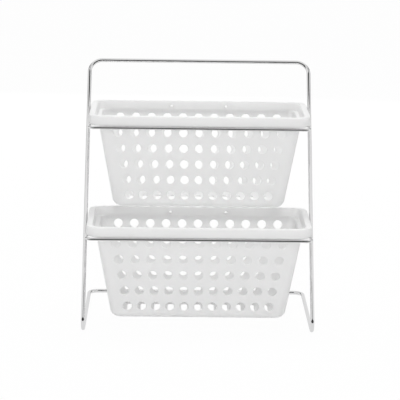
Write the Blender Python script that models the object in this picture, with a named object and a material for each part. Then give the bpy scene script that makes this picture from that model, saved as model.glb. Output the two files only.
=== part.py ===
"""Two-tier countertop organizer.

One bent steel rod makes the stand: a loop that lies on the counter, turns up at two front feet, leans
back as two uprights and closes across the top as a carrying bar.  Two hoops of thinner rod are welded
between the uprights.  A perforated plastic basket hangs in each hoop by the ledge under its collar, and
lifts out.

Lengths are in metres, +X is to the right, +Y to the back and +Z up.  The origin is on the counter, at
the middle of the loop that the stand lies on.
"""

import math

import bmesh
import bpy
from mathutils import Matrix, Vector

# Stand: widths and depths are between rod centres, bend radii are the rod's centre line.
STAND_WIDTH = 0.290
UPRIGHT_DRAW = 0.001
BASE_DEPTH = 0.190
TOP_BAR_LEAD = 0.006
STAND_ROD = 0.005
FOOT_BEND = 0.012
REAR_BEND = 0.012
TOP_BEND = 0.0165

# Hoops that carry the baskets.
HOOP_ROD = 0.004
HOOP_CORNER = 0.007
WELD_GAP = 0.0003
SEAT_GAP = 0.0003

# Basket: a thick collar stands on a ledge, and the body hangs below the ledge with its walls drawn in.
RIM_DEPTH = 0.120
RIM_CORNER = 0.018
RIM_ROUND = 0.0024
LIP_WIDTH = 0.0046
COLLAR_HEIGHT = 0.0128
COLLAR_DRAW = 0.0009
SIDE_LEDGE = 0.0131
BODY_HEIGHT = 0.1084
BODY_CORNER = 0.012
SIDE_DRAW = 0.0190
FRONT_DRAW = 0.0118
BASE_ROUND = 0.009
WALL = 0.002

# Perforation of the four walls: how far the end columns keep from the corners, and the least spacing of
# the columns, which stand closest in the lowest row.
HOLE_ROWS = 5
HOLE_DIAMETER = 0.0112
FRONT_MARGIN = 0.0231
SIDE_MARGIN = 0.0190
COLUMN_PITCH = 0.0165
FIRST_ROW_DROP = 0.0086
LAST_ROW_RISE = 0.0168

# Slots in the floor, one in front of each column, and the pair of small holes in the rear collar.
SLOT_WIDTH = 0.008
SLOT_START = 0.016
SLOT_LENGTH = 0.034
COLLAR_HOLE = 0.0036
COLLAR_HOLE_DROP = 0.0067
COLLAR_HOLE_SPACING = 0.072

# Clearances that set one piece against another.
COUNTER_CLEARANCE = 0.0211
TIER_CLEARANCE = 0.0051
HANDLE_ROOM = 0.0493
LIFT_CLEARANCE = 0.002
BASKET_PLAY = 0.0004
HOOP_CLEARANCE = 0.001

# Facets of round work, and how far a cutter runs past what it cuts.
ROD_RINGS = 3
BEND_STEPS = 6
CORNER_STEPS = 4
EDGE_STEPS = 2
HOLE_SIDES = 8
SLOT_END_STEPS = 3
OVERRUN = 0.003

# Heights and depths worked out from the sizes above.
LOWER_SEAT = COUNTER_CLEARANCE + BODY_HEIGHT
UPPER_SEAT = LOWER_SEAT + COLLAR_HEIGHT + TIER_CLEARANCE + BODY_HEIGHT
FOOT_HEIGHT = STAND_ROD / 2
BAR_HEIGHT = UPPER_SEAT + COLLAR_HEIGHT + HANDLE_ROOM + STAND_ROD / 2
FRONT_Y = -BASE_DEPTH / 2
REAR_Y = BASE_DEPTH / 2
BAR_Y = REAR_Y - TOP_BAR_LEAD
HOOP_DROP = SEAT_GAP + HOOP_ROD / 2

# The rim passes between the uprights where they stand closest.
TOP_WIDTH = STAND_WIDTH - 2 * UPRIGHT_DRAW
RIM_WIDTH = TOP_WIDTH - STAND_ROD - 2 * BASKET_PLAY
BODY_WIDTH = RIM_WIDTH - 2 * SIDE_LEDGE
FRONT_LEDGE = HOOP_ROD + HOOP_CLEARANCE
BODY_DEPTH = RIM_DEPTH - 2 * FRONT_LEDGE
ROW_PITCH = (BODY_HEIGHT - FIRST_ROW_DROP - LAST_ROW_RISE) / (HOLE_ROWS - 1)


def upright_at(height):
    """Half the spacing of the uprights' centres at a height, and how far back they stand there."""
    share = (height - FOOT_HEIGHT) / (BAR_HEIGHT - FOOT_HEIGHT)
    half_spacing = STAND_WIDTH / 2 - UPRIGHT_DRAW * share
    return half_spacing, FRONT_Y + (BAR_Y - FRONT_Y) * share


# The upper rim clears the top bar as it lifts, and both hoops stand equally far in front of the uprights.
UPPER_Y = BAR_Y - STAND_ROD / 2 - LIFT_CLEARANCE - RIM_DEPTH / 2
HOOP_LEAD = upright_at(UPPER_SEAT - HOOP_DROP)[1] - UPPER_Y
LOWER_Y = upright_at(LOWER_SEAT - HOOP_DROP)[1] - HOOP_LEAD


def clear_scene():
    """Start from an empty scene."""
    for item in list(bpy.data.objects):
        bpy.data.objects.remove(item, do_unlink=True)


def make_material(name, colour, metallic, roughness):
    """A Principled material of one colour."""
    material = bpy.data.materials.new(name)
    material.use_nodes = True
    shader = material.node_tree.nodes["Principled BSDF"]
    shader.inputs["Base Color"].default_value = (*colour, 1)
    shader.inputs["Metallic"].default_value = metallic
    shader.inputs["Roughness"].default_value = roughness
    return material


def place(name, data, material, location=(0, 0, 0), parent=None):
    """Make an object of a mesh or curve, put it in the scene and give it its material."""
    item = bpy.data.objects.new(name, data)
    data.materials.append(material)
    item.location = location
    item.parent = parent
    bpy.context.scene.collection.objects.link(item)
    return item


def bent_path(corners):
    """Points along a closed rod whose corners, each a place and a bend radius, are rounded by arcs."""
    points = []
    for index, (corner, radius) in enumerate(corners):
        to_last = (corners[index - 1][0] - corner).normalized()
        to_next = (corners[(index + 1) % len(corners)][0] - corner).normalized()
        half_angle = to_last.angle(to_next) / 2
        centre = corner + (to_last + to_next).normalized() * radius / math.sin(half_angle)
        start = corner + to_last * radius / math.tan(half_angle) - centre
        end = corner + to_next * radius / math.tan(half_angle) - centre
        turn = start.angle(end)
        for step in range(BEND_STEPS + 1):
            share = step / BEND_STEPS
            along = start * math.sin((1 - share) * turn) + end * math.sin(share * turn)
            points.append(centre + along / math.sin(turn))
    return points


def rod(name, corners, diameter, material, location=(0, 0, 0), parent=None):
    """A closed loop of round rod along the corners."""
    curve = bpy.data.curves.new(name, "CURVE")
    curve.dimensions = "3D"
    curve.bevel_depth = diameter / 2
    curve.bevel_resolution = ROD_RINGS
    spline = curve.splines.new("POLY")
    points = bent_path(corners)
    spline.points.add(len(points) - 1)
    for point, place_of_point in zip(spline.points, points):
        point.co = (*place_of_point, 1)
    spline.use_cyclic_u = True
    spline.use_smooth = True
    return place(name, curve, material, location, parent)


def make_stand(material):
    """The stand: counter loop, feet, leaning uprights and top bar, all one rod."""
    half_base = STAND_WIDTH / 2
    half_top = TOP_WIDTH / 2
    corners = [
        (Vector((-half_base, REAR_Y, FOOT_HEIGHT)), REAR_BEND),
        (Vector((-half_base, FRONT_Y, FOOT_HEIGHT)), FOOT_BEND),
        (Vector((-half_top, BAR_Y, BAR_HEIGHT)), TOP_BEND),
        (Vector((half_top, BAR_Y, BAR_HEIGHT)), TOP_BEND),
        (Vector((half_base, FRONT_Y, FOOT_HEIGHT)), FOOT_BEND),
        (Vector((half_base, REAR_Y, FOOT_HEIGHT)), REAR_BEND),
    ]
    return rod("stand_rod", corners, STAND_ROD, material)


def make_hoop(name, seat, y, material, parent):
    """A rectangular hoop welded between the uprights, its top just under the basket's ledge."""
    height = seat - HOOP_DROP
    half_width = upright_at(height)[0] - STAND_ROD / 2 - WELD_GAP - HOOP_ROD / 2
    half_depth = RIM_DEPTH / 2 - HOOP_ROD / 2
    corners = [
        (Vector((side_x * half_width, side_y * half_depth, 0)), HOOP_CORNER)
        for side_x, side_y in ((-1, -1), (1, -1), (1, 1), (-1, 1))
    ]
    return rod(name, corners, HOOP_ROD, material, (0, y, height), parent)


def rounded_rectangle(half_width, half_depth, corner, height):
    """Points of a level rectangle with round corners, counter-clockwise from above."""
    points = []
    for quarter, (side_x, side_y) in enumerate(((1, 1), (-1, 1), (-1, -1), (1, -1))):
        for step in range(CORNER_STEPS + 1):
            angle = math.radians(90) * (quarter + step / CORNER_STEPS)
            x = side_x * (half_width - corner) + corner * math.cos(angle)
            y = side_y * (half_depth - corner) + corner * math.sin(angle)
            points.append((x, y, height))
    return points


def wall_at(drop):
    """Half width and half depth of the body's outer face, some way below the ledge's underside."""
    share = drop / BODY_HEIGHT
    return BODY_WIDTH / 2 - SIDE_DRAW * share, BODY_DEPTH / 2 - FRONT_DRAW * share


def rounded_levels(radius, offset, steps):
    """Levels of a face's rounded edge down to the floor, the face standing inside the outer one."""
    levels = []
    for step in range(steps + 1):
        angle = math.radians(90) * step / steps
        inset = offset + radius * (1 - math.cos(angle))
        drop = BODY_HEIGHT - BASE_ROUND + radius * math.sin(angle)
        half_width, half_depth = wall_at(drop)
        levels.append(
            rounded_rectangle(half_width - inset, half_depth - inset, BODY_CORNER - inset, -drop)
        )
    return levels


def collar_level(inset, height):
    """A level of the collar, standing inside the rim's widest outline."""
    return rounded_rectangle(RIM_WIDTH / 2 - inset, RIM_DEPTH / 2 - inset, RIM_CORNER - inset, height)


def outer_levels():
    """The basket's outer face: collar, its rounded lower edge, ledge, body and rounded floor edge."""
    levels = [collar_level(COLLAR_DRAW, COLLAR_HEIGHT)]
    for step in range(EDGE_STEPS + 1):
        angle = math.radians(90) * step / EDGE_STEPS
        levels.append(collar_level(RIM_ROUND * (1 - math.cos(angle)), RIM_ROUND * (1 - math.sin(angle))))
    levels.append(rounded_rectangle(*wall_at(0), BODY_CORNER, 0))
    return levels + rounded_levels(BASE_ROUND, 0, CORNER_STEPS)


def inner_levels():
    """The basket's inner face, one wall inside the body and one lip inside the collar."""
    half_width, half_depth = wall_at(0)
    return [
        collar_level(COLLAR_DRAW + LIP_WIDTH, COLLAR_HEIGHT),
        collar_level(LIP_WIDTH, WALL),
        rounded_rectangle(half_width - WALL, half_depth - WALL, BODY_CORNER - WALL, WALL),
    ] + rounded_levels(BASE_ROUND - WALL, WALL, EDGE_STEPS)


def basket_shell(name):
    """The basket before it is pierced: its levels bridged from the inner floor, over the lip, to the
    outer floor, and both floors filled in."""
    mesh = bpy.data.meshes.new(name)
    build = bmesh.new()
    levels = inner_levels()[::-1] + outer_levels()
    rings = [[build.verts.new(point) for point in level] for level in levels]
    for upper, lower in zip(rings, rings[1:]):
        for index in range(len(upper)):
            after = (index + 1) % len(upper)
            build.faces.new((upper[index], lower[index], lower[after], upper[after]))
    build.faces.new(rings[0])
    build.faces.new(reversed(rings[-1]))
    build.to_mesh(mesh)
    build.free()
    return mesh


def prism(build, sides, radius, length, centre, axis):
    """Add a closed prism of a round hole's size, its length along an axis through a centre."""
    turn = Vector((0, 0, 1)).rotation_difference(axis).to_matrix().to_4x4()
    flat_up = Matrix.Rotation(math.pi / sides, 4, "Z")
    bmesh.ops.create_cone(build, cap_ends=True, segments=sides, radius1=radius, radius2=radius,
                          depth=length, matrix=Matrix.Translation(centre) @ turn @ flat_up)


def cutter(name, build):
    """An object to cut with, left out of the finished part."""
    mesh = bpy.data.meshes.new(name)
    build.to_mesh(mesh)
    build.free()
    item = bpy.data.objects.new(name, mesh)
    item.display_type = "WIRE"
    item.hide_render = True
    bpy.context.scene.collection.objects.link(item)
    return item


def row_drops():
    """How far each row of holes lies below the ledge's underside."""
    return [FIRST_ROW_DROP + ROW_PITCH * row for row in range(HOLE_ROWS)]


def columns_at(drop, facing_front):
    """Places of the holes along a wall, some way below the ledge.

    As many columns as the least spacing allows in the lowest row are spread evenly between the margins."""
    half_extent = wall_at(drop)[0 if facing_front else 1]
    lowest_extent = wall_at(row_drops()[-1])[0 if facing_front else 1]
    margin = FRONT_MARGIN if facing_front else SIDE_MARGIN
    spaces = max(1, int(2 * (lowest_extent - margin) / COLUMN_PITCH))
    return [(half_extent - margin) * (2 * column / spaces - 1) for column in range(spaces + 1)]


def wall_cutter(name, facing_front):
    """Prisms that cut one pair of opposite walls, in rows whose columns draw together downwards."""
    build = bmesh.new()
    for drop in row_drops():
        for place_along in columns_at(drop, facing_front):
            if facing_front:
                prism(build, HOLE_SIDES, HOLE_DIAMETER / 2, BODY_DEPTH + 2 * OVERRUN,
                      Vector((place_along, 0, -drop)), Vector((0, 1, 0)))
            else:
                prism(build, HOLE_SIDES, HOLE_DIAMETER / 2, BODY_WIDTH + 2 * OVERRUN,
                      Vector((0, place_along, -drop)), Vector((1, 0, 0)))
    return cutter(name, build)


def slot_outline(centre_x, near_y):
    """Outline of one floor slot with round ends, counter-clockwise from above."""
    radius = SLOT_WIDTH / 2
    points = []
    for end_y, first in ((near_y + SLOT_LENGTH - radius, 0), (near_y + radius, math.pi)):
        for step in range(SLOT_END_STEPS + 1):
            angle = first + math.pi * step / SLOT_END_STEPS
            points.append(Vector((centre_x + radius * math.cos(angle), end_y + radius * math.sin(angle), 0)))
    return points


def slot_cutter(name):
    """Upright prisms for the floor's slots, in line with the lowest row of holes."""
    build = bmesh.new()
    low = Vector((0, 0, -BODY_HEIGHT - OVERRUN))
    rise = Vector((0, 0, WALL + 2 * OVERRUN))
    for centre_x in columns_at(BODY_HEIGHT, True):
        outline = slot_outline(centre_x, SLOT_START - wall_at(BODY_HEIGHT)[1])
        face = build.faces.new([build.verts.new(point + low) for point in outline])
        raised = bmesh.ops.extrude_face_region(build, geom=[face])["geom"]
        corners = [item for item in raised if isinstance(item, bmesh.types.BMVert)]
        bmesh.ops.translate(build, vec=rise, verts=corners)
    bmesh.ops.recalc_face_normals(build, faces=build.faces)
    return cutter(name, build)


def collar_cutter(name):
    """Prisms for the two small holes in the rear of the collar."""
    build = bmesh.new()
    height = COLLAR_HEIGHT - COLLAR_HOLE_DROP
    for side in (-1, 1):
        centre = Vector((side * COLLAR_HOLE_SPACING / 2, RIM_DEPTH / 2, height))
        prism(build, HOLE_SIDES, COLLAR_HOLE / 2, 2 * (LIP_WIDTH + OVERRUN), centre, Vector((0, 1, 0)))
    return cutter(name, build)


def make_basket(name, seat, y, material, parent):
    """One basket: a lofted shell, then perforated."""
    basket = place(name, basket_shell(name), material, (0, y, seat), parent)
    cutters = (
        wall_cutter(name + "_front_holes", True),
        wall_cutter(name + "_side_holes", False),
        slot_cutter(name + "_floor_slots"),
        collar_cutter(name + "_collar_holes"),
    )
    for tool in cutters:
        tool.parent = basket
        cut = basket.modifiers.new(tool.name, "BOOLEAN")
        cut.operation = "DIFFERENCE"
        cut.solver = "EXACT"
        cut.object = tool
    return basket


def build_organizer():
    """Make every piece of the organizer."""
    clear_scene()
    chrome = make_material("chrome_rod", (0.80, 0.80, 0.80), 1.0, 0.08)
    hoop_chrome = make_material("chrome_hoop", (0.78, 0.78, 0.78), 1.0, 0.10)
    plastic = make_material("white_plastic", (0.84, 0.84, 0.84), 0.0, 0.38)
    stand = make_stand(chrome)
    make_hoop("lower_hoop", LOWER_SEAT, LOWER_Y, hoop_chrome, stand)
    make_hoop("upper_hoop", UPPER_SEAT, UPPER_Y, hoop_chrome, stand)
    make_basket("lower_basket", LOWER_SEAT, LOWER_Y, plastic, stand)
    make_basket("upper_basket", UPPER_SEAT, UPPER_Y, plastic, stand)


build_organizer()
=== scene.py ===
"""Two-tier countertop organizer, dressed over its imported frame."""
import math

import bpy
import numpy as np
from mathutils import Matrix, Vector


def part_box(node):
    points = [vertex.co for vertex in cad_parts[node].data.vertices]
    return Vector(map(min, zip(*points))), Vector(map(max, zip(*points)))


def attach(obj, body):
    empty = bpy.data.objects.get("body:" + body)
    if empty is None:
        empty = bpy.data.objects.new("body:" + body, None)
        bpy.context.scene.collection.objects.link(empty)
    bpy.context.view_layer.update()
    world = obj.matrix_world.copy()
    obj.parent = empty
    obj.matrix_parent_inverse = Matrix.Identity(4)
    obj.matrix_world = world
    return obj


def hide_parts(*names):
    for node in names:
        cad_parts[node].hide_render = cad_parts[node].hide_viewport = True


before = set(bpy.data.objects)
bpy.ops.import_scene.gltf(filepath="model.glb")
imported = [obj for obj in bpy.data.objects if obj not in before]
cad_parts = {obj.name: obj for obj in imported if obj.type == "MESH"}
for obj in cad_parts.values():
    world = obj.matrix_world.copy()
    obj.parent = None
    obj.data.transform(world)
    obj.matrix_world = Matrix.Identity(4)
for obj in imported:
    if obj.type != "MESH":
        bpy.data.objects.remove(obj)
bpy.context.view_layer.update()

# The stand is one length of steel rod, bent cold into a loop that lies on the counter, turns up at two
# front feet, leans back and closes across the top as a carrying bar.  Its ends are butt welded in the
# middle of the rear bar, ground flush, and the whole frame is chrome plated.
STAND_WIDTH = 0.290
TOP_WIDTH = 0.288
FRONT_Y = -0.095
REAR_Y = 0.095
BAR_Y = 0.089
BAR_HEIGHT = 0.3204
STAND_RADIUS = 0.0025
FOOT_BEND = 0.012
REAR_BEND = 0.012
TOP_BEND = 0.0165
LEAN = np.array([0, BAR_Y - FRONT_Y, BAR_HEIGHT - STAND_RADIUS])
LEAN_NORMAL = np.array([0, -LEAN[2], LEAN[1]]) / np.linalg.norm(LEAN)


def piece_from(name, patches, material):
    """Joins grids of points into one closed mesh.

    Each patch is its points and its faces' four corners.  Points that fall into one cell of a fine grid,
    which is shifted off the round sizes, are one point.  A face whose corners have met there becomes a
    triangle, which closes seams, fans and poles."""
    points = np.concatenate([patch[0].reshape(-1, 3) for patch in patches])
    starts = np.cumsum([0] + [patch[0].size // 3 for patch in patches[:-1]])
    corners = np.concatenate([patch[1].reshape(-1, 4) + start for patch, start in zip(patches, starts)])
    charts = np.concatenate([patch[2].reshape(-1, 4, 2) for patch in patches])
    cell_size, cell_shift = 2e-6, 0.137
    cells = np.round(points / cell_size + cell_shift).astype(np.int64)
    _, first, met = np.unique(cells, axis=0, return_index=True, return_inverse=True)
    corners = met.reshape(-1)[corners]
    kept = corners != np.roll(corners, 1, axis=1)
    whole = kept.sum(1) > 2
    corners, kept, charts = corners[whole], kept[whole], charts[whole]
    sizes = kept.sum(1)
    mesh = bpy.data.meshes.new(name)
    mesh.vertices.add(len(first))
    mesh.vertices.foreach_set("co", points[first].ravel())
    mesh.loops.add(int(sizes.sum()))
    mesh.loops.foreach_set("vertex_index", corners[kept].astype(np.int32))
    mesh.polygons.add(len(sizes))
    mesh.polygons.foreach_set("loop_start", (np.cumsum(sizes) - sizes).astype(np.int32))
    mesh.polygons.foreach_set("use_smooth", np.ones(len(sizes), dtype=bool))
    mesh.uv_layers.new(name="length_and_girth").data.foreach_set("uv", charts[kept].ravel())
    mesh.update(calc_edges=True)
    mesh.validate()
    piece = bpy.data.objects.new(name, mesh)
    bpy.context.scene.collection.objects.link(piece)
    mesh.materials.append(material)
    return piece


def patch_of(rings, closed_rings=True, closed_stack=False, left_out=None, along=None, around=None):
    """A stack of rings as a patch: each face spans one step along a ring and one step up the stack.

    The faces look outwards where the rings run counter-clockwise seen against the stack's growth."""
    count, width = rings.shape[:2]
    row, column = np.meshgrid(np.arange(count if closed_stack else count - 1),
                              np.arange(width if closed_rings else width - 1), indexing="ij")
    row_after, column_after = row + 1, column + 1
    corners = np.stack([row_after % count * width + column, row_after % count * width + column_after % width,
                        row * width + column_after % width, row * width + column], -1)
    along = np.arange(count + 1.0) if along is None else along
    around = np.arange(width + 1.0) if around is None else around
    chart = np.stack([np.stack([along[row_after], around[column]], -1),
                      np.stack([along[row_after], around[column_after]], -1),
                      np.stack([along[row], around[column_after]], -1),
                      np.stack([along[row], around[column]], -1)], 2)
    if left_out is not None:
        corners, chart = corners[~left_out], chart[~left_out]
    return rings, corners, chart


def bent_loop(corners, bends, steps=18):
    """Centre line of a closed loop of rod, and its direction at every point.

    Each corner is rounded by an arc about the point where the two rod runs' inner offsets meet: centre
    plus radius times (start side weighted by the sine of the turn still to go, plus end side weighted by
    the sine of the turn made), over the sine of the whole turn."""
    to_last = np.roll(corners, 1, axis=0) - corners
    to_next = np.roll(corners, -1, axis=0) - corners
    to_last /= np.linalg.norm(to_last, axis=1, keepdims=True)
    to_next /= np.linalg.norm(to_next, axis=1, keepdims=True)
    half = np.arccos((to_last * to_next).sum(1))[:, None] / 2
    middle = to_last + to_next
    middle /= np.linalg.norm(middle, axis=1, keepdims=True)
    centre = corners + middle * bends[:, None] / np.sin(half)
    start = (corners + to_last * bends[:, None] / np.tan(half) - centre)[:, None]
    end = (corners + to_next * bends[:, None] / np.tan(half) - centre)[:, None]
    turn = (math.pi - 2 * half)[:, :, None]
    share = np.linspace(0, 1, steps + 1)[None, :, None]
    arc = (start * np.sin((1 - share) * turn) + end * np.sin(share * turn)) / np.sin(turn)
    way = end * np.cos(share * turn) - start * np.cos((1 - share) * turn)
    way /= np.linalg.norm(way, axis=2, keepdims=True)
    return (centre[:, None] + arc).reshape(-1, 3), way.reshape(-1, 3)


def rod_patch(path, way, outward, radius, sides=32):
    """Skin of a round rod: at every point of its path a circle, the radius times (cosine of the angle along
    the outward direction plus sine of the angle along the direction square to it and to the rod)."""
    outward = outward - (outward * way).sum(1, keepdims=True) * way
    outward /= np.linalg.norm(outward, axis=1, keepdims=True)
    across = np.cross(way, outward)
    angle = np.linspace(0, 2 * math.pi, sides, endpoint=False)[None, :, None]
    rings = path[:, None] + radius * (np.cos(angle) * outward[:, None] + np.sin(angle) * across[:, None])
    step = np.linalg.norm(np.roll(path, -1, axis=0) - path, axis=1)
    along = np.concatenate([[0], np.cumsum(step)])
    around = np.linspace(0, 2 * math.pi * radius, sides + 1)
    return patch_of(rings[:, ::-1], closed_stack=True, along=along, around=around)


class Signal:
    """A socket of a material's nodes.  Arithmetic on it adds Math nodes."""

    def __init__(self, socket):
        self.socket = socket

    @classmethod
    def node(cls, tree, kind, settings=(), output=0, **sockets):
        """Add a node, set its settings, fill its sockets with values or links, and give one output.

        A socket goes by its name, with _ for a space, or by _ and its number."""
        made = tree.nodes.new(kind)
        for key, value in dict(settings).items():
            setattr(made, key, value)
        for key, value in sockets.items():
            target = made.inputs[int(key[1:])] if key[0] == "_" else made.inputs[key.replace("_", " ")]
            if isinstance(value, Signal):
                tree.links.new(value.socket, target)
            else:
                target.default_value = value
        return cls(made.outputs[output])

    def maths(self, operation, first, second=0.0):
        """One Math node on two values or links."""
        tree = self.socket.id_data
        return Signal.node(tree, "ShaderNodeMath", {"operation": operation}, _0=first, _1=second)

    def __add__(self, other):
        return self.maths("ADD", self, other)

    def __radd__(self, other):
        return self.maths("ADD", other, self)

    def __sub__(self, other):
        return self.maths("SUBTRACT", self, other)

    def __rsub__(self, other):
        return self.maths("SUBTRACT", other, self)

    def __mul__(self, other):
        return self.maths("MULTIPLY", self, other)

    def __rmul__(self, other):
        return self.maths("MULTIPLY", other, self)

    def __pow__(self, other):
        return self.maths("POWER", self, other)


def chrome_finish(name, brightness, polish):
    """Chrome plate on drawn rod: mirror bright, with faint draw lines along the rod, a thin haze of handling
    and a few dull specks where the plate is thin."""
    material = bpy.data.materials.new(name)
    material.use_nodes = True
    tree = material.node_tree
    shader = tree.nodes["Principled BSDF"]
    shader.inputs["Metallic"].default_value = 1.0
    chart = Signal.node(tree, "ShaderNodeUVMap", {"uv_map": "length_and_girth"})
    place = Signal.node(tree, "ShaderNodeTexCoord", output=3)
    stretched = Signal.node(tree, "ShaderNodeMapping", Vector=chart, Scale=(9.0, 2600.0, 1.0))
    lines = Signal.node(tree, "ShaderNodeTexNoise", Vector=stretched, Scale=1.0, Detail=3.0)
    haze = Signal.node(tree, "ShaderNodeTexNoise", Vector=place, Scale=34.0, Detail=4.0)
    specks = Signal.node(tree, "ShaderNodeTexNoise", Vector=place, Scale=900.0, Detail=1.0)
    dull = Signal.node(tree, "ShaderNodeMapRange", {"clamp": True}, Value=specks, From_Min=0.70,
                       From_Max=0.78)
    shade = brightness - 0.05 * haze - 0.10 * dull
    tint = Signal.node(tree, "ShaderNodeCombineColor", Red=shade, Green=shade, Blue=shade * 1.004)
    tree.links.new(tint.socket, shader.inputs["Base Color"])
    roughness = polish + 0.05 * haze ** 2.0 + 0.22 * dull + 0.02 * lines
    tree.links.new(roughness.socket, shader.inputs["Roughness"])
    height = Signal.node(tree, "ShaderNodeBump", Strength=0.10, Distance=0.0002, Height=lines + 0.4 * haze)
    tree.links.new(height.socket, shader.inputs["Normal"])
    return material


rod_chrome = chrome_finish("rod_chrome", 0.82, 0.02)
side = np.array([-1, -1, -1, 1, 1, 1])
stand_corners = np.array([
    [STAND_WIDTH / 2, REAR_Y, STAND_RADIUS],
    [STAND_WIDTH / 2, FRONT_Y, STAND_RADIUS],
    [TOP_WIDTH / 2, BAR_Y, BAR_HEIGHT],
    [TOP_WIDTH / 2, BAR_Y, BAR_HEIGHT],
    [STAND_WIDTH / 2, FRONT_Y, STAND_RADIUS],
    [STAND_WIDTH / 2, REAR_Y, STAND_RADIUS],
]) * np.stack([side, np.ones(6), np.ones(6)], 1)
stand_bends = np.array([REAR_BEND, FOOT_BEND, TOP_BEND, TOP_BEND, FOOT_BEND, REAR_BEND])
stand_path, stand_way = bent_loop(stand_corners, stand_bends)
# Outward is square to the rod in its own plane.  A small share of down or forward settles it in the bars
# that run straight across.
SETTLING_SHARE = 0.02
in_rear_bar = (stand_path[:, 2:] < TOP_BEND) & (np.abs(stand_way[:, :1]) > 1e-4)
stand_outward = np.cross([1, 0, 0], stand_way) * -np.sign(stand_path[:, :1])
stand_outward = stand_outward + SETTLING_SHARE * np.where(in_rear_bar, [0, 0, -1], LEAN_NORMAL)
stand = piece_from("stand_rod_chrome",
                   [rod_patch(stand_path, stand_way, stand_outward, STAND_RADIUS)], rod_chrome)
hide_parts("stand_rod")
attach(stand, "stand")

# Two hoops of thinner rod carry the baskets.  Each is bent to a rectangle with round corners, and pressed
# and spot welded against the inner sides of the uprights before plating.
HOOP_RADIUS = 0.002
HOOP_CORNER = 0.007
hoop_chrome = chrome_finish("hoop_chrome", 0.81, 0.03)


def hoop_patch(node):
    """A hoop's skin, sized by the box of the solid that it covers."""
    low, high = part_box(node)
    half = (np.array(high) - np.array(low)) / 2 - HOOP_RADIUS
    middle = (np.array(high) + np.array(low)) / 2
    turns = np.array([[-1, -1, 0], [1, -1, 0], [1, 1, 0], [-1, 1, 0]])
    path, way = bent_loop(middle + turns * half, np.full(4, HOOP_CORNER), steps=14)
    return rod_patch(path, way, np.tile([0.0, 0.0, 1.0], (len(path), 1)), HOOP_RADIUS, sides=28)


for node in ("lower_hoop", "upper_hoop"):
    hoop = piece_from(node + "_chrome", [hoop_patch(node)], hoop_chrome)
    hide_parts(node)
    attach(hoop, "stand")

# Where a hoop's side crosses an upright the two rods are fused by one spot weld.  It squeezes out a small
# oval nugget on both sides of the joint, smoothed over by the plating.
NUGGET = np.array([0.0016, 0.0034, 0.0021])
NUGGET_RIPPLE = 0.05


def nugget_patch(centre, tilt):
    """An oval nugget: a sphere stretched along three axes, tipped back by the tilt, its skin rippled by a
    cosine of three times the angle round it."""
    up = np.linspace(0, math.pi, 15)[:, None]
    turn = np.linspace(0, 2 * math.pi, 24, endpoint=False)[None, :]
    ripple = 1 + NUGGET_RIPPLE * np.cos(3 * turn) * np.sin(up)
    ball = np.stack([np.sin(up) * np.cos(turn) * ripple, np.sin(up) * np.sin(turn) * ripple,
                     np.cos(up) + 0 * turn], -1) * NUGGET
    lean = np.array([[1, 0, 0], [0, np.cos(tilt), -np.sin(tilt)], [0, np.sin(tilt), np.cos(tilt)]])
    return patch_of(ball @ lean.T + centre)


for node in ("lower_hoop", "upper_hoop"):
    low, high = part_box(node)
    height = (low[2] + high[2]) / 2
    share = (height - STAND_RADIUS) / (BAR_HEIGHT - STAND_RADIUS)
    back = FRONT_Y + share * (BAR_Y - FRONT_Y)
    joints = [nugget_patch(np.array([x, back, height]), math.atan2(LEAN[1], LEAN[2]) / 2)
              for x in (low[0], high[0])]
    welds = piece_from(node + "_welds", joints, hoop_chrome)
    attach(welds, "stand")

# The baskets are two of one injection moulding in white plastic.  A thick collar stands on a ledge that
# hangs on the hoop.  The walls below are drawn in and pierced by slides in the mould, the floor has slots.
RIM_HALF = np.array([0.1411, 0.060])
RIM_CORNER = 0.018
RIM_ROUND = 0.0024
LIP_WIDTH = 0.0046
LIP_ROOT = 0.0070
LIP_SHARE = 0.654
BODY_HALF = np.array([0.1280, 0.0550])
BODY_DRAW = np.array([0.0190, 0.0118])
BODY_CORNER = 0.012
BODY_HEIGHT = 0.1084
COLLAR_HEIGHT = 0.0128
COLLAR_DRAW = 0.0009
WALL = 0.002
BASE_ROUND = 0.009
HOLE_MARGIN = np.array([0.0231, 0.0190])
HOLE_RADIUS = 0.0056
HOLE_EASE = 0.0005
FIRST_ROW = 0.0086
ROW_PITCH = 0.02075
ROWS = 5
PIERCED_SPAN = (0.0013, 0.0994)
ROW_DROPS = FIRST_ROW + ROW_PITCH * np.arange(ROWS)
ROW_EDGES = np.concatenate([PIERCED_SPAN[:1], (ROW_DROPS[1:] + ROW_DROPS[:-1]) / 2, PIERCED_SPAN[1:]])
COLUMNS = (11, 4)
SLOT_RADIUS = 0.004
SLOT_EASE = 0.0004
SLOT_SPAN = (-0.0272, 0.0205)
COLLAR_HOLE_RADIUS = 0.0018
COLLAR_HOLE_EASE = 0.0002
COLLAR_HOLE_HEIGHT = 0.0061
COLLAR_HOLES = {3: 0.036, 7: -0.036}
COLLAR_FLAT = (0.0036, 0.0100)
STEPS = 8
HALF_TURN = STEPS * (COLUMNS[0] + COLUMNS[1] + 2)


def stations(flat, reach, count):
    """Places along a wall, eight to each hole: the cell edges lie midway between holes, and the first and
    last edges lie where the wall's flat ends."""
    between = reach * (2 * (np.arange(1, count) - 0.5) / (count - 1) - 1)
    edges = np.concatenate([[-flat], between, [flat]])
    return np.interp(np.arange(STEPS * count + 1) / STEPS, np.arange(count + 1), edges)


def body_half(drop):
    """Half width and half depth of the body's outer face at a drop below the ledge."""
    return BODY_HALF - BODY_DRAW * max(drop, 0) / BODY_HEIGHT


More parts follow.
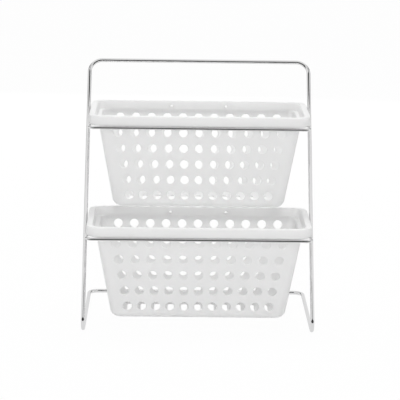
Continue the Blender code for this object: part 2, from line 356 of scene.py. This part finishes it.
def turn_round(half, corner, height, drop):
    """One turn round the basket, counter-clockwise from above: four flats with their stations, joined by
    quarter circles."""
    reach = body_half(drop) - HOLE_MARGIN
    across = stations(half[0] - corner, reach[0], COLUMNS[0])[:-1]
    deep = stations(half[1] - corner, reach[1], COLUMNS[1])[:-1]
    angle = np.linspace(0, math.pi / 2, STEPS, endpoint=False)
    bend = half - corner
    runs = []
    for quarter in range(4):
        run, reach_out = (across, half[1]) if quarter % 2 == 0 else (deep, half[0])
        ahead, beside = (bend[0], bend[1]) if quarter % 2 == 0 else (bend[1], bend[0])
        flat = np.stack([run, np.full(len(run), -reach_out)], 1)
        arc = np.stack([ahead + corner * np.sin(angle), -beside - corner * np.cos(angle)], 1)
        spin = quarter * math.pi / 2
        turn = np.array([[round(math.cos(spin)), round(math.sin(spin))],
                         [-round(math.sin(spin)), round(math.cos(spin))]])
        runs.append(np.concatenate([flat, arc]) @ turn)
    plan = np.concatenate(runs)
    return np.column_stack([plan, np.full(len(plan), height)])


def inset_at(drop, radius):
    """How far the rounded floor edge draws a face in: radius minus the root of (radius squared minus the
    drop into the rounding squared)."""
    into = np.clip(drop - (BODY_HEIGHT - BASE_ROUND), 0, radius)
    return radius - np.sqrt(radius ** 2 - into ** 2)


def wall_turn(drop, inner):
    """A turn round the body's outer or inner face at a drop."""
    inset = WALL + inset_at(drop, BASE_ROUND - WALL) if inner else inset_at(drop, BASE_ROUND)
    return turn_round(body_half(drop) - inset, BODY_CORNER - inset, -drop, drop)


def collar_turn(share, offset, height):
    """A turn round the ledge or collar: the outline a share of the way from body to rim, moved out by an
    offset."""
    half = BODY_HALF + (RIM_HALF - BODY_HALF) * share + offset
    return turn_round(half, BODY_CORNER + (RIM_CORNER - BODY_CORNER) * share + offset, height, 0)


def collar_profile():
    """Section of the ledge and collar, from the inner wall up, over the lip and down to the outer wall, as
    rows of (share, offset, height): straight faces joined by rounds of sine and cosine.  In front and behind,
    the inner wall runs on into the lip.  The ledge is at the ends only, where the lip is wider: its inner
    face lies a share of the way from body to rim."""
    angle = np.linspace(0, math.pi / 2, 7)
    rise, fade = np.sin(angle), 1 - np.cos(angle)
    flat = np.linspace(*COLLAR_FLAT, STEPS + 1)
    ledge_edge, ledge_corner, lip_inner, lip_outer, under_corner = 0.0013, 0.0009, 0.0008, 0.0011, 0.0008
    ledge_end = LIP_ROOT - WALL
    first_round, last_round = 0.16, 0.11
    ledge = LIP_SHARE * np.concatenate([first_round * fade, 1 - last_round * (1 - rise)])
    drawn_in = WALL + ledge_end * LIP_SHARE
    leaning = LIP_ROOT - LIP_WIDTH - COLLAR_DRAW
    inner_face = drawn_in - leaning * (flat - WALL) / (COLLAR_HEIGHT - WALL)
    outer_face = COLLAR_DRAW * (flat[::-1] - RIM_ROUND) / (COLLAR_HEIGHT - RIM_ROUND)
    rows = [
        np.stack([ledge, -WALL - ledge_end * ledge,
                  WALL + np.concatenate([-ledge_edge * (1 - rise), ledge_corner * fade])], 1),
        np.stack([0 * flat + LIP_SHARE, -inner_face, flat], 1),
        np.stack([0 * rise + LIP_SHARE, leaning - drawn_in + lip_inner * fade,
                  COLLAR_HEIGHT - lip_inner * (1 - rise)], 1),
        np.stack([0 * rise + 1, -COLLAR_DRAW - lip_outer * (1 - rise), COLLAR_HEIGHT - lip_outer * fade], 1),
        np.stack([0 * flat + 1, -outer_face, flat[::-1]], 1),
        np.stack([0 * rise + 1, -RIM_ROUND * fade, RIM_ROUND * (1 - rise)], 1),
        np.stack([0 * rise, under_corner * (1 - rise), -under_corner * fade], 1),
    ]
    return np.concatenate(rows), (len(rise) * 2, len(rise) * 4 + len(flat))


def collar_patches(around):
    """The ledge and collar, with two small holes in the rear."""
    profile, (inside, outside) = collar_profile()
    collar = np.stack([wall_turn(ROW_EDGES[0], True)] + [collar_turn(*row) for row in profile]
                      + [wall_turn(ROW_EDGES[0], False)])
    left_out = np.zeros((len(collar) - 1, 2 * HALF_TURN), dtype=bool)
    patches = []
    for cell, x in COLLAR_HOLES.items():
        first = HALF_TURN + STEPS * cell
        faces = []
        for lowest, order in ((outside + 1, -1), (inside + 1, 1)):
            left_out[lowest:lowest + STEPS, first:first + STEPS] = True
            faces.append(cell_edge(collar[lowest:lowest + STEPS + 1, first:first + STEPS + 1][::order]))
        spot = np.array([x, 0, COLLAR_HOLE_HEIGHT])
        patches.append(hole_patch(*faces, spot, spot, COLLAR_HOLE_RADIUS, COLLAR_HOLE_EASE, 1))
    return [patch_of(collar, left_out=left_out, around=around)] + patches


def wall_patches():
    """The four walls: round holes in cells, and plain corners between them."""
    levels = np.concatenate([np.linspace(a, b, STEPS, endpoint=False)
                             for a, b in zip(ROW_EDGES[:-1], ROW_EDGES[1:])] + [ROW_EDGES[-1:]])
    outer, inner = (np.stack([wall_turn(drop, is_inner) for drop in levels]) for is_inner in (False, True))
    outer, inner = (np.concatenate([face, face[:, :1]], 1) for face in (outer, inner))
    patches = []
    start = 0
    for quarter in range(4):
        count = COLUMNS[quarter % 2]
        axis = 1 - quarter % 2
        sign = (1, 1, -1, -1)[quarter]
        for row, drop in enumerate(ROW_DROPS):
            reach = (body_half(drop) - HOLE_MARGIN)[quarter % 2]
            rows = slice(STEPS * row, STEPS * (row + 1) + 1)
            for column in range(count):
                columns = slice(start + STEPS * column, start + STEPS * (column + 1) + 1)
                spot = np.zeros(3)
                spot[1 - axis] = sign * reach * (2 * column / (count - 1) - 1)
                spot[2] = -drop
                faces = [cell_edge(face[rows, columns][::-1]) for face in (outer, inner)]
                patches.append(hole_patch(*faces, spot, spot, HOLE_RADIUS, HOLE_EASE, axis))
        corner = slice(start + STEPS * count, start + STEPS * (count + 1) + 1)
        patches.append(patch_of(outer[:, corner], closed_rings=False))
        patches.append(patch_of(inner[::-1, corner], closed_rings=False))
        start += STEPS * (count + 1)
    return patches


def floor_patches(around):
    """The rounded floor edge, outside and inside, and the flat floor with its slots."""
    patches = []
    for radius, is_inner in ((BASE_ROUND, False), (BASE_ROUND - WALL, True)):
        begin = math.asin((ROW_EDGES[-1] - BODY_HEIGHT + BASE_ROUND) / radius)
        angle = np.linspace(begin, math.pi / 2, STEPS + 1)
        drops = BODY_HEIGHT - BASE_ROUND + radius * np.sin(angle)
        rounding = np.stack([wall_turn(drop, is_inner) for drop in drops])
        patches.append(patch_of(rounding[::-1] if is_inner else rounding, around=around))
    flat = body_half(BODY_HEIGHT) - BODY_CORNER
    reach = body_half(BODY_HEIGHT) - HOLE_MARGIN
    xs, ys = (stations(flat[axis], reach[axis], COLUMNS[axis]) for axis in (0, 1))
    for drop, is_inner in ((BODY_HEIGHT, False), (BODY_HEIGHT - WALL, True)):
        border = np.stack([wall_turn(drop, is_inner), turn_round(flat, 0.0, -drop, BODY_HEIGHT)])
        patches.append(patch_of(border[::-1] if is_inner else border, around=around))
    for column in range(COLUMNS[0]):
        y, x = np.meshgrid(ys, xs[STEPS * column:STEPS * (column + 1) + 1], indexing="ij")
        faces = [cell_edge(np.stack([x, y, np.full(x.shape, -drop)], -1)[::-1])
                 for drop in (BODY_HEIGHT, BODY_HEIGHT - WALL)]
        middle = reach[0] * (2 * column / (COLUMNS[0] - 1) - 1)
        near = np.array([middle, SLOT_SPAN[0] + SLOT_RADIUS, 0])
        far = np.array([middle, SLOT_SPAN[1] - SLOT_RADIUS, 0])
        patches.append(hole_patch(*faces, near, far, SLOT_RADIUS, SLOT_EASE, 2))
    return patches


def basket_patches(low, high):
    """The whole shell, its ledge on the place that the box of the solid gives."""
    seat = np.array([(low[0] + high[0]) / 2, (low[1] + high[1]) / 2, high[2] - COLLAR_HEIGHT])
    around = np.arange(2 * HALF_TURN + 1.0)
    return [(points + seat, corners, chart)
            for points, corners, chart in collar_patches(around) + wall_patches() + floor_patches(around)]


def cell_edge(block):
    """The edge of a block of points, once round: first row, last column, last row back, first column back."""
    return np.concatenate([block[0, :-1], block[:-1, -1], block[-1, :0:-1], block[:0:-1, 0]])


def hole_patch(outer, inner, near, far, radius, ease, axis):
    """A cell pierced by a round or long hole.

    Each point of the cell's edge goes straight towards the nearest place of the hole's middle line, stops
    at the radius, rolls over the eased edge, crosses the wall and comes back to the cell's edge on the
    inner face.  Along the given axis, a point lies on its face, which is fitted through the cell's edge as
    a plane plus a share of the second coordinate squared, and inside it by the depth of the easing."""
    plan = [item for item in range(3) if item != axis]
    nearest = np.clip(outer[:, plan], np.minimum(near, far)[plan], np.maximum(near, far)[plan])
    away = outer[:, plan] - nearest
    away /= np.linalg.norm(away, axis=1, keepdims=True)
    angle = np.linspace(0, math.pi / 2, 4)
    widths = radius + np.concatenate([[2.0 * ease], ease * (1 - np.sin(angle))])
    depths = np.concatenate([[0], ease * (1 - np.cos(angle))])

    def terms(spots):
        return np.column_stack([spots, spots[:, 1] ** 2, np.ones(len(spots))])

    rings = [outer]
    for face, other, order in ((outer, inner, 1), (inner, outer, -1)):
        shape = np.linalg.lstsq(terms(outer[:, plan]), face[:, axis], rcond=None)[0]
        through = np.sign((other - face)[:, axis].mean())
        half = []
        for width, depth in zip(widths, depths):
            spot = nearest + away * width
            ring = np.empty_like(outer)
            ring[:, plan] = spot
            ring[:, axis] = terms(spot) @ shape + through * depth
            half.append(ring)
        rings += half[::order]
    rings.append(inner)
    return patch_of(np.stack(rings)[::-1])


def plastic_finish(name):
    """White moulded plastic: soft gloss, a fine pebble left by the mould, faint flow shading and a light
    scuffing that dulls it in patches."""
    material = bpy.data.materials.new(name)
    material.use_nodes = True
    tree = material.node_tree
    shader = tree.nodes["Principled BSDF"]
    shader.inputs["IOR"].default_value = 1.49
    shader.inputs["Subsurface Weight"].default_value = 0.65
    shader.inputs["Subsurface Radius"].default_value = (1.0, 1.0, 1.0)
    shader.inputs["Subsurface Scale"].default_value = 0.009
    place = Signal.node(tree, "ShaderNodeTexCoord", output=3)
    flow = Signal.node(tree, "ShaderNodeTexNoise", Vector=place, Scale=18.0, Detail=3.0)
    pebble = Signal.node(tree, "ShaderNodeTexNoise", Vector=place, Scale=1300.0, Detail=2.0)
    scuff = Signal.node(tree, "ShaderNodeTexNoise", Vector=place, Scale=75.0, Detail=5.0)
    shade = 0.885 + 0.022 * flow + 0.006 * scuff
    tint = Signal.node(tree, "ShaderNodeCombineColor", Red=shade, Green=shade, Blue=shade * 0.998)
    tree.links.new(tint.socket, shader.inputs["Base Color"])
    roughness = 0.30 + 0.10 * scuff + 0.06 * flow
    tree.links.new(roughness.socket, shader.inputs["Roughness"])
    height = Signal.node(tree, "ShaderNodeBump", Strength=0.12, Distance=0.0003, Height=pebble + 0.5 * flow)
    tree.links.new(height.socket, shader.inputs["Normal"])
    return material


white_plastic = plastic_finish("white_moulding")
for node in ("lower_basket", "upper_basket"):
    basket = piece_from(node + "_moulding", basket_patches(*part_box(node)), white_plastic)
    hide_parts(node)
    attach(basket, node + "_body")

# The studio: a white sheet under and behind the stand, a floor before it, a lit ceiling, four soft boxes, and
# a lit cloth hung round the front and sides.  The cloth's top edge is set so that the uprights mirror it up
# to the upper basket's collar and the dark room above that.
SHEET_HALF_WIDTH = 2.6
SHEET_FRONT = -0.22
SHEET_BACK = 3.2
SHEET_RISE = 3.0
SHEET_BEND = 0.7
FLOOR_FRONT = -3.2
CEILING_FRONT = -1.7
CAMERA_PLACE = (-0.03618, -2.2330, 0.67881)
CLOTH_DISTANCE = 2.6
CLOTH_REACH = 112
CLOTH_STEP_AT = 38
CLOTH_STEP = 1.0
SHOULDER = 0.2778


def studio_sheet():
    """The sheet's section: flat, a quarter circle and upright, carried across its width."""
    angle = np.linspace(0, math.pi / 2, 25)
    bend = np.stack([SHEET_BACK - SHEET_BEND + SHEET_BEND * np.sin(angle),
                     SHEET_BEND - SHEET_BEND * np.cos(angle)], 1)
    section = np.concatenate([[[SHEET_FRONT, 0.0]], bend, [[SHEET_BACK, SHEET_RISE]]])
    across = np.array([-SHEET_HALF_WIDTH, SHEET_HALF_WIDTH])
    return np.stack([np.column_stack([np.full(len(section), x), section]) for x in across], 1)


def level_sheet(front, back, height):
    """A flat sheet at a height, from front to back."""
    return np.array([[[x, y, height] for x in (-SHEET_HALF_WIDTH, SHEET_HALF_WIDTH)] for y in (front, back)])


def hung_cloth():
    """The cloth's lower and upper edges.

    A line of sight that meets an upright leaves it along a cone: its share along the upright stays, the rest
    is turned round the upright.  The upper edge follows this cone from the height of the shoulder, and is a
    step higher at the sides.  The lower edge is up in front, where the camera looks in, and falls to the
    floor at the sides."""
    lean = LEAN / np.linalg.norm(LEAN)
    sight = np.array([0, 0, SHOULDER]) - CAMERA_PLACE
    slide = sight @ lean / np.linalg.norm(sight)
    turn = np.radians(np.linspace(-CLOTH_REACH, CLOTH_REACH, CLOTH_REACH + 1))
    mirrored = slide * lean + math.sqrt(1 - slide ** 2) * (
        np.cos(turn)[:, None] * LEAN_NORMAL + np.sin(turn)[:, None] * np.array([1, 0, 0]))
    level = np.hypot(mirrored[:, 0], mirrored[:, 1])
    plan = CLOTH_DISTANCE * mirrored[:, :2] / level[:, None]
    aside = np.abs(np.degrees(turn))
    top = SHOULDER + CLOTH_DISTANCE * mirrored[:, 2] / level + np.where(aside > CLOTH_STEP_AT, CLOTH_STEP, 0)
    low = np.interp(aside, [8, 20, 62], [2.30, 1.35, 0.0])
    return np.stack([np.column_stack([plan, low]), np.column_stack([plan, top])])


def sheet_finish(name, brightness, mirrored):
    """Paper that the camera sees as nearly plain white with a trace of the object's shadow, that the chrome
    mirrors at a brightness of its own, and that is plain matt paper to all other light."""
    material = bpy.data.materials.new(name)
    material.use_nodes = True
    tree = material.node_tree
    shader = tree.nodes["Principled BSDF"]
    shader.inputs["Base Color"].default_value = (brightness, brightness, brightness, 1)
    shader.inputs["Roughness"].default_value = 0.9
    rays = tree.nodes.new("ShaderNodeLightPath")
    camera_ray, glossy_ray = Signal(rays.outputs["Is Camera Ray"]), Signal(rays.outputs["Is Glossy Ray"])
    glow = Signal.node(tree, "ShaderNodeEmission", Strength=camera_ray + mirrored * glossy_ray)
    mix = Signal.node(tree, "ShaderNodeMixShader", _0=0.97 * (camera_ray + glossy_ray),
                      _1=Signal(shader.outputs[0]), _2=glow)
    tree.links.new(mix.socket, tree.nodes["Material Output"].inputs["Surface"])
    return material


def seen_glow(tree, cast, mirrored):
    """How bright a surface glows: fully for the camera, less in mirrors and in the light that it casts."""
    rays = tree.nodes.new("ShaderNodeLightPath")
    camera_ray, glossy_ray = Signal(rays.outputs["Is Camera Ray"]), Signal(rays.outputs["Is Glossy Ray"])
    return cast + (1 - cast) * camera_ray + (mirrored - cast) * glossy_ray


def lit_cloth_finish():
    """Cloth lit from behind, a little weaker than the sheet."""
    material = bpy.data.materials.new("lit_cloth")
    material.use_nodes = True
    tree = material.node_tree
    glow = Signal.node(tree, "ShaderNodeEmission", Strength=seen_glow(tree, cast=0.52, mirrored=0.90))
    tree.links.new(glow.socket, tree.nodes["Material Output"].inputs["Surface"])
    material.cycles.emission_sampling = "NONE"
    return material


sheet = piece_from("studio_sheet", [patch_of(studio_sheet()[::-1], closed_rings=False)],
                   sheet_finish("white_sheet", 0.90, 0.86))
front_floor = level_sheet(FLOOR_FRONT, SHEET_FRONT, 0.0)
floor = piece_from("studio_floor", [patch_of(front_floor[::-1], closed_rings=False)],
                   sheet_finish("front_floor", 0.90, 0.10))
cloth = lit_cloth_finish()
ring = piece_from("studio_reflector", [patch_of(hung_cloth(), closed_rings=False)], cloth)
overhead = level_sheet(CEILING_FRONT, SHEET_BACK, SHEET_RISE)
ceiling = piece_from("studio_ceiling", [patch_of(overhead, closed_rings=False)], cloth)


def soft_lamp(name, place, target, size, power):
    """A soft box facing a target, out of the chrome's sight."""
    lamp = bpy.data.lights.new(name, "AREA")
    lamp.shape = "RECTANGLE"
    lamp.size, lamp.size_y = size
    lamp.energy = power
    box = bpy.data.objects.new(name, lamp)
    box.location = place
    box.rotation_euler = (Vector(target) - Vector(place)).to_track_quat("-Z", "Y").to_euler()
    box.visible_glossy = False
    bpy.context.scene.collection.objects.link(box)


soft_lamp("key_soft_box", place=(0.10, -1.6, 1.55), target=(0, 0, 0.08), size=(0.4, 0.3), power=4.5)
soft_lamp("front_soft_box", place=(-0.25, -2.1, 0.40), target=(0, 0, 0.05), size=(1.2, 0.5), power=6.7)
soft_lamp("back_soft_box", place=(0.1, 1.6, 0.38), target=(0, 0, 0.10), size=(1.8, 0.6), power=10)
soft_lamp("top_soft_box", place=(0.0, 0.3, 1.9), target=(0, 0, 0.15), size=(1.6, 0.8), power=14.6)

world = bpy.data.worlds.new("studio_room")
bpy.context.scene.world = world
world.use_nodes = True
room = world.node_tree.nodes["Background"]
room.inputs["Color"].default_value = (1, 1, 1, 1)
room_glow = seen_glow(world.node_tree, cast=0.45, mirrored=0.05)
world.node_tree.links.new(room_glow.socket, room.inputs["Strength"])

# The camera stands a little above the organizer, well back and slightly to its left, and is turned, dipped
# and rolled as the fit to the photo found it.  Its focal length is given in widths of the picture.
CAMERA_YAW = math.radians(0.98)
CAMERA_PITCH = math.radians(13.24)
CAMERA_ROLL = math.radians(0.86)
FOCAL_LENGTH = 1775.49 / 400
SENSOR_WIDTH = 36
ahead = Vector((math.sin(CAMERA_YAW) * math.cos(CAMERA_PITCH), math.cos(CAMERA_YAW) * math.cos(CAMERA_PITCH),
                -math.sin(CAMERA_PITCH)))
level_right = Vector((math.cos(CAMERA_YAW), -math.sin(CAMERA_YAW), 0))
level_up = level_right.cross(ahead)
right = level_right * math.cos(CAMERA_ROLL) + level_up * math.sin(CAMERA_ROLL)
upward = level_up * math.cos(CAMERA_ROLL) - level_right * math.sin(CAMERA_ROLL)
lens = bpy.data.cameras.new("photo_camera")
lens.lens = SENSOR_WIDTH * FOCAL_LENGTH
lens.sensor_width = SENSOR_WIDTH
lens.clip_end = 50
camera = bpy.data.objects.new("photo_camera", lens)
camera.matrix_world = Matrix.Translation(CAMERA_PLACE) @ Matrix((
    (right.x, upward.x, -ahead.x), (right.y, upward.y, -ahead.y), (right.z, upward.z, -ahead.z))).to_4x4()
bpy.context.scene.collection.objects.link(camera)
bpy.context.scene.camera = camera

bpy.context.scene.view_settings.view_transform = "Standard"
bpy.context.view_layer.update()
